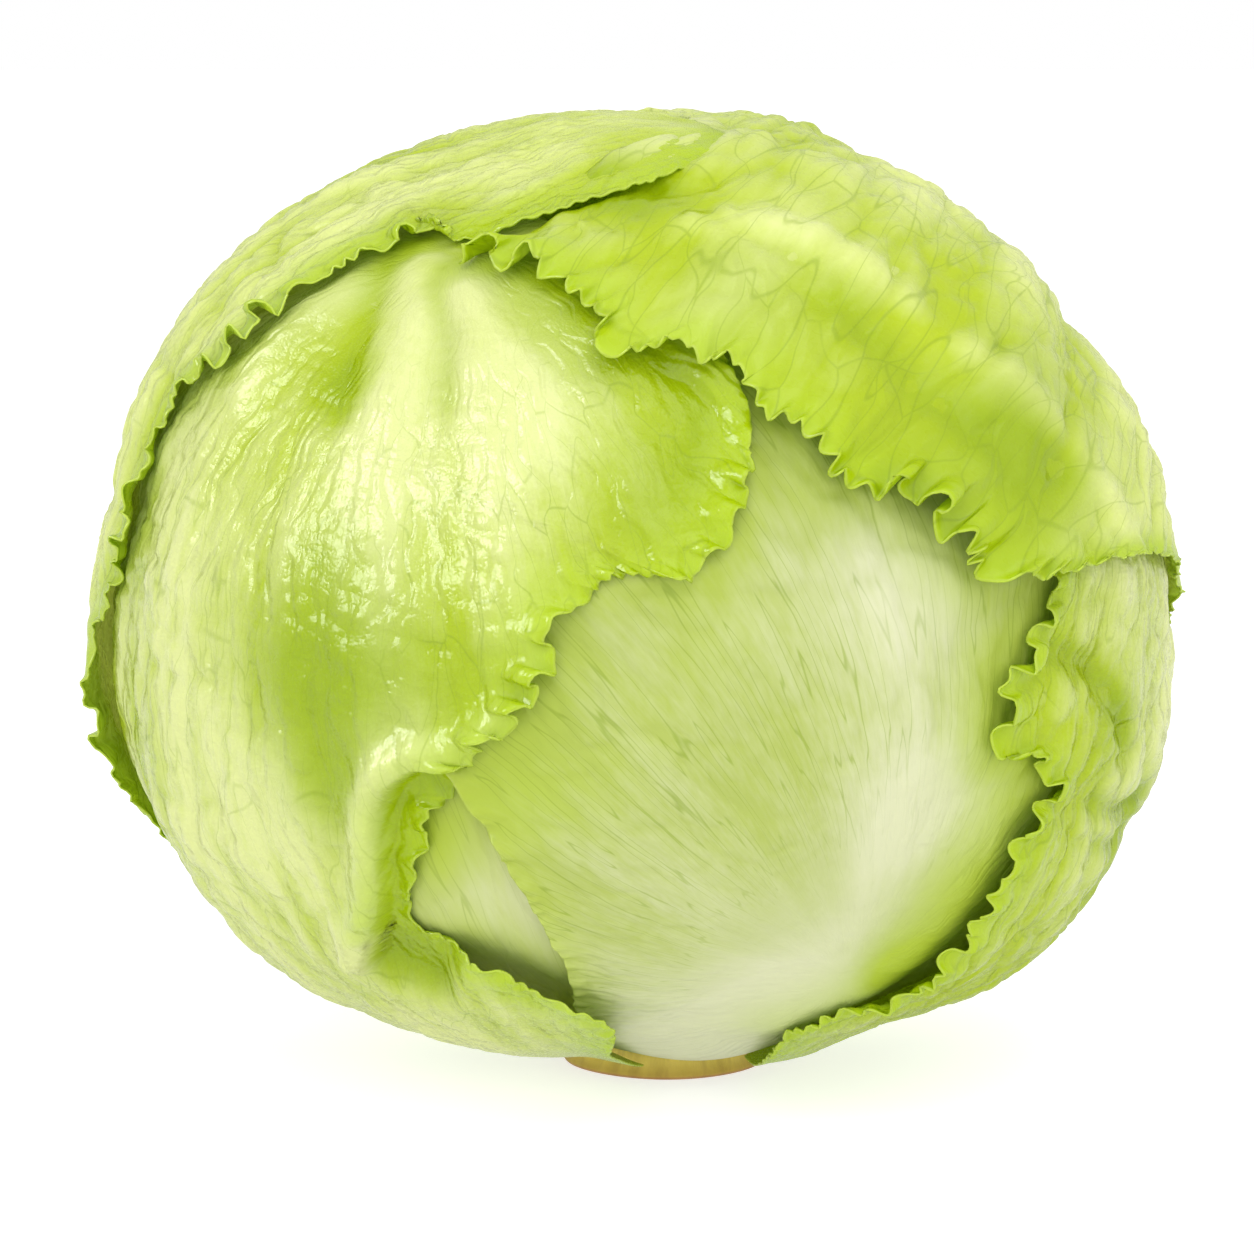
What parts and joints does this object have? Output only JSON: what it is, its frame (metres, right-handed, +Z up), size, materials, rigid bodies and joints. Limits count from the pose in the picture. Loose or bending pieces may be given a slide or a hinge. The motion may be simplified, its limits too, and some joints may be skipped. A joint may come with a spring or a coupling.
{
  "type": "iceberg lettuce",
  "caption": "Whole round head of crisp lettuce, wrapped in overlapping leaves with frilled, toothed edges, standing on its flat cut stem end.",
  "frame": {"origin": "centre of the flat cut face of the stem, which the head stands on", "axes": "+Z up along the stem, -Y towards the viewer of the picture's side, +X to that viewer's right"},
  "size_m": [0.1709, 0.1644, 0.1526],
  "materials": {
    "stem": "dry cut plant stem, tan with a browned rim",
    "heart": "pale yellow packed leaves",
    "pale_leaf": "fresh pale leaf with a cream rib, satin, lets a little light through",
    "glossy_leaf": "fresh waxy leaf, yellow-green, blistered, glossy",
    "outer_leaf": "fresh waxy outer leaf, bright yellow-green with fine darker veins"
  },
  "bodies": {
    "root": {"stem": "stem", "heart": "heart", "leaf_inner_left": "pale_leaf", "leaf_front": "pale_leaf", "leaf_left": "glossy_leaf", "leaf_right": "glossy_leaf", "leaf_back": "glossy_leaf", "leaf_top_left": "outer_leaf", "leaf_top_right": "outer_leaf"}
  },
  "joints": []
}
